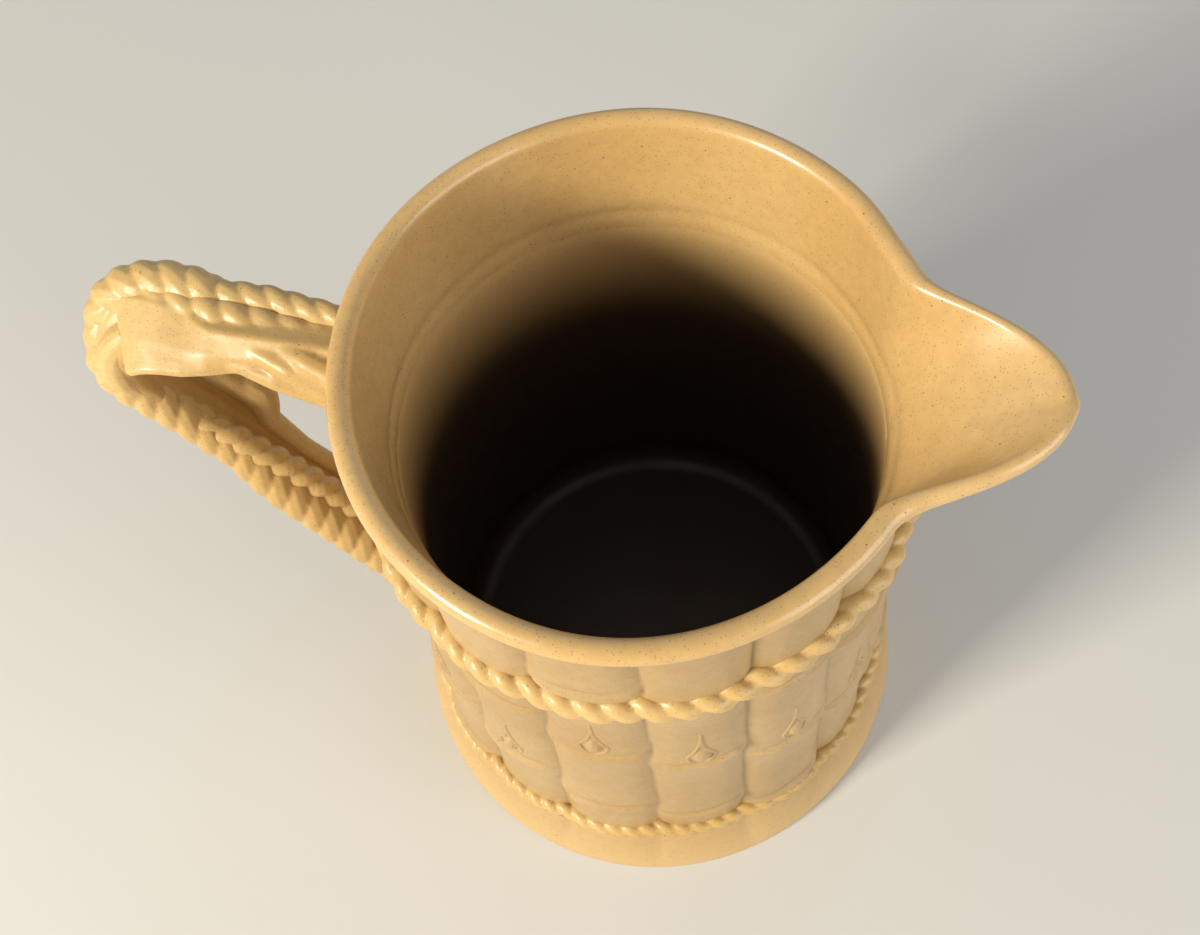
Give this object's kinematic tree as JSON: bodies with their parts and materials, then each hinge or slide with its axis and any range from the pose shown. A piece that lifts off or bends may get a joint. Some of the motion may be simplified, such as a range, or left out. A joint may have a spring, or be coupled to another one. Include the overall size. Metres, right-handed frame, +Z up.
{
  "type": "stoneware pitcher",
  "caption": "Buff glazed stoneware pitcher with a bamboo-cane body, rope bands round the wall, a rolled rim, a pulled pouring lip and a rope handle.",
  "frame": {"origin": "centre of the flat foot on the vessel's axis, on the table", "axes": "+Z up along the vessel's axis, +X to the pouring lip, -X to the handle, -Y the near side of the picture"},
  "size_m": [0.2037, 0.1308, 0.1609],
  "materials": {
    "body_glaze": "gloss",
    "rim_glaze": "gloss",
    "rope_glaze": "gloss",
    "handle_glaze": "gloss"
  },
  "bodies": {
    "root": {"base_foot": "body_glaze", "near_wall": "body_glaze", "far_wall": "body_glaze", "rim_collar": "rim_glaze", "pouring_lip": "rim_glaze", "upper_rope": "rope_glaze", "lower_rope": "rope_glaze", "cane_buds": "body_glaze", "handle_web": "handle_glaze", "handle_near_rope": "rope_glaze", "handle_far_rope": "rope_glaze", "handle_near_strand": "rope_glaze", "handle_far_strand": "rope_glaze"}
  },
  "joints": []
}
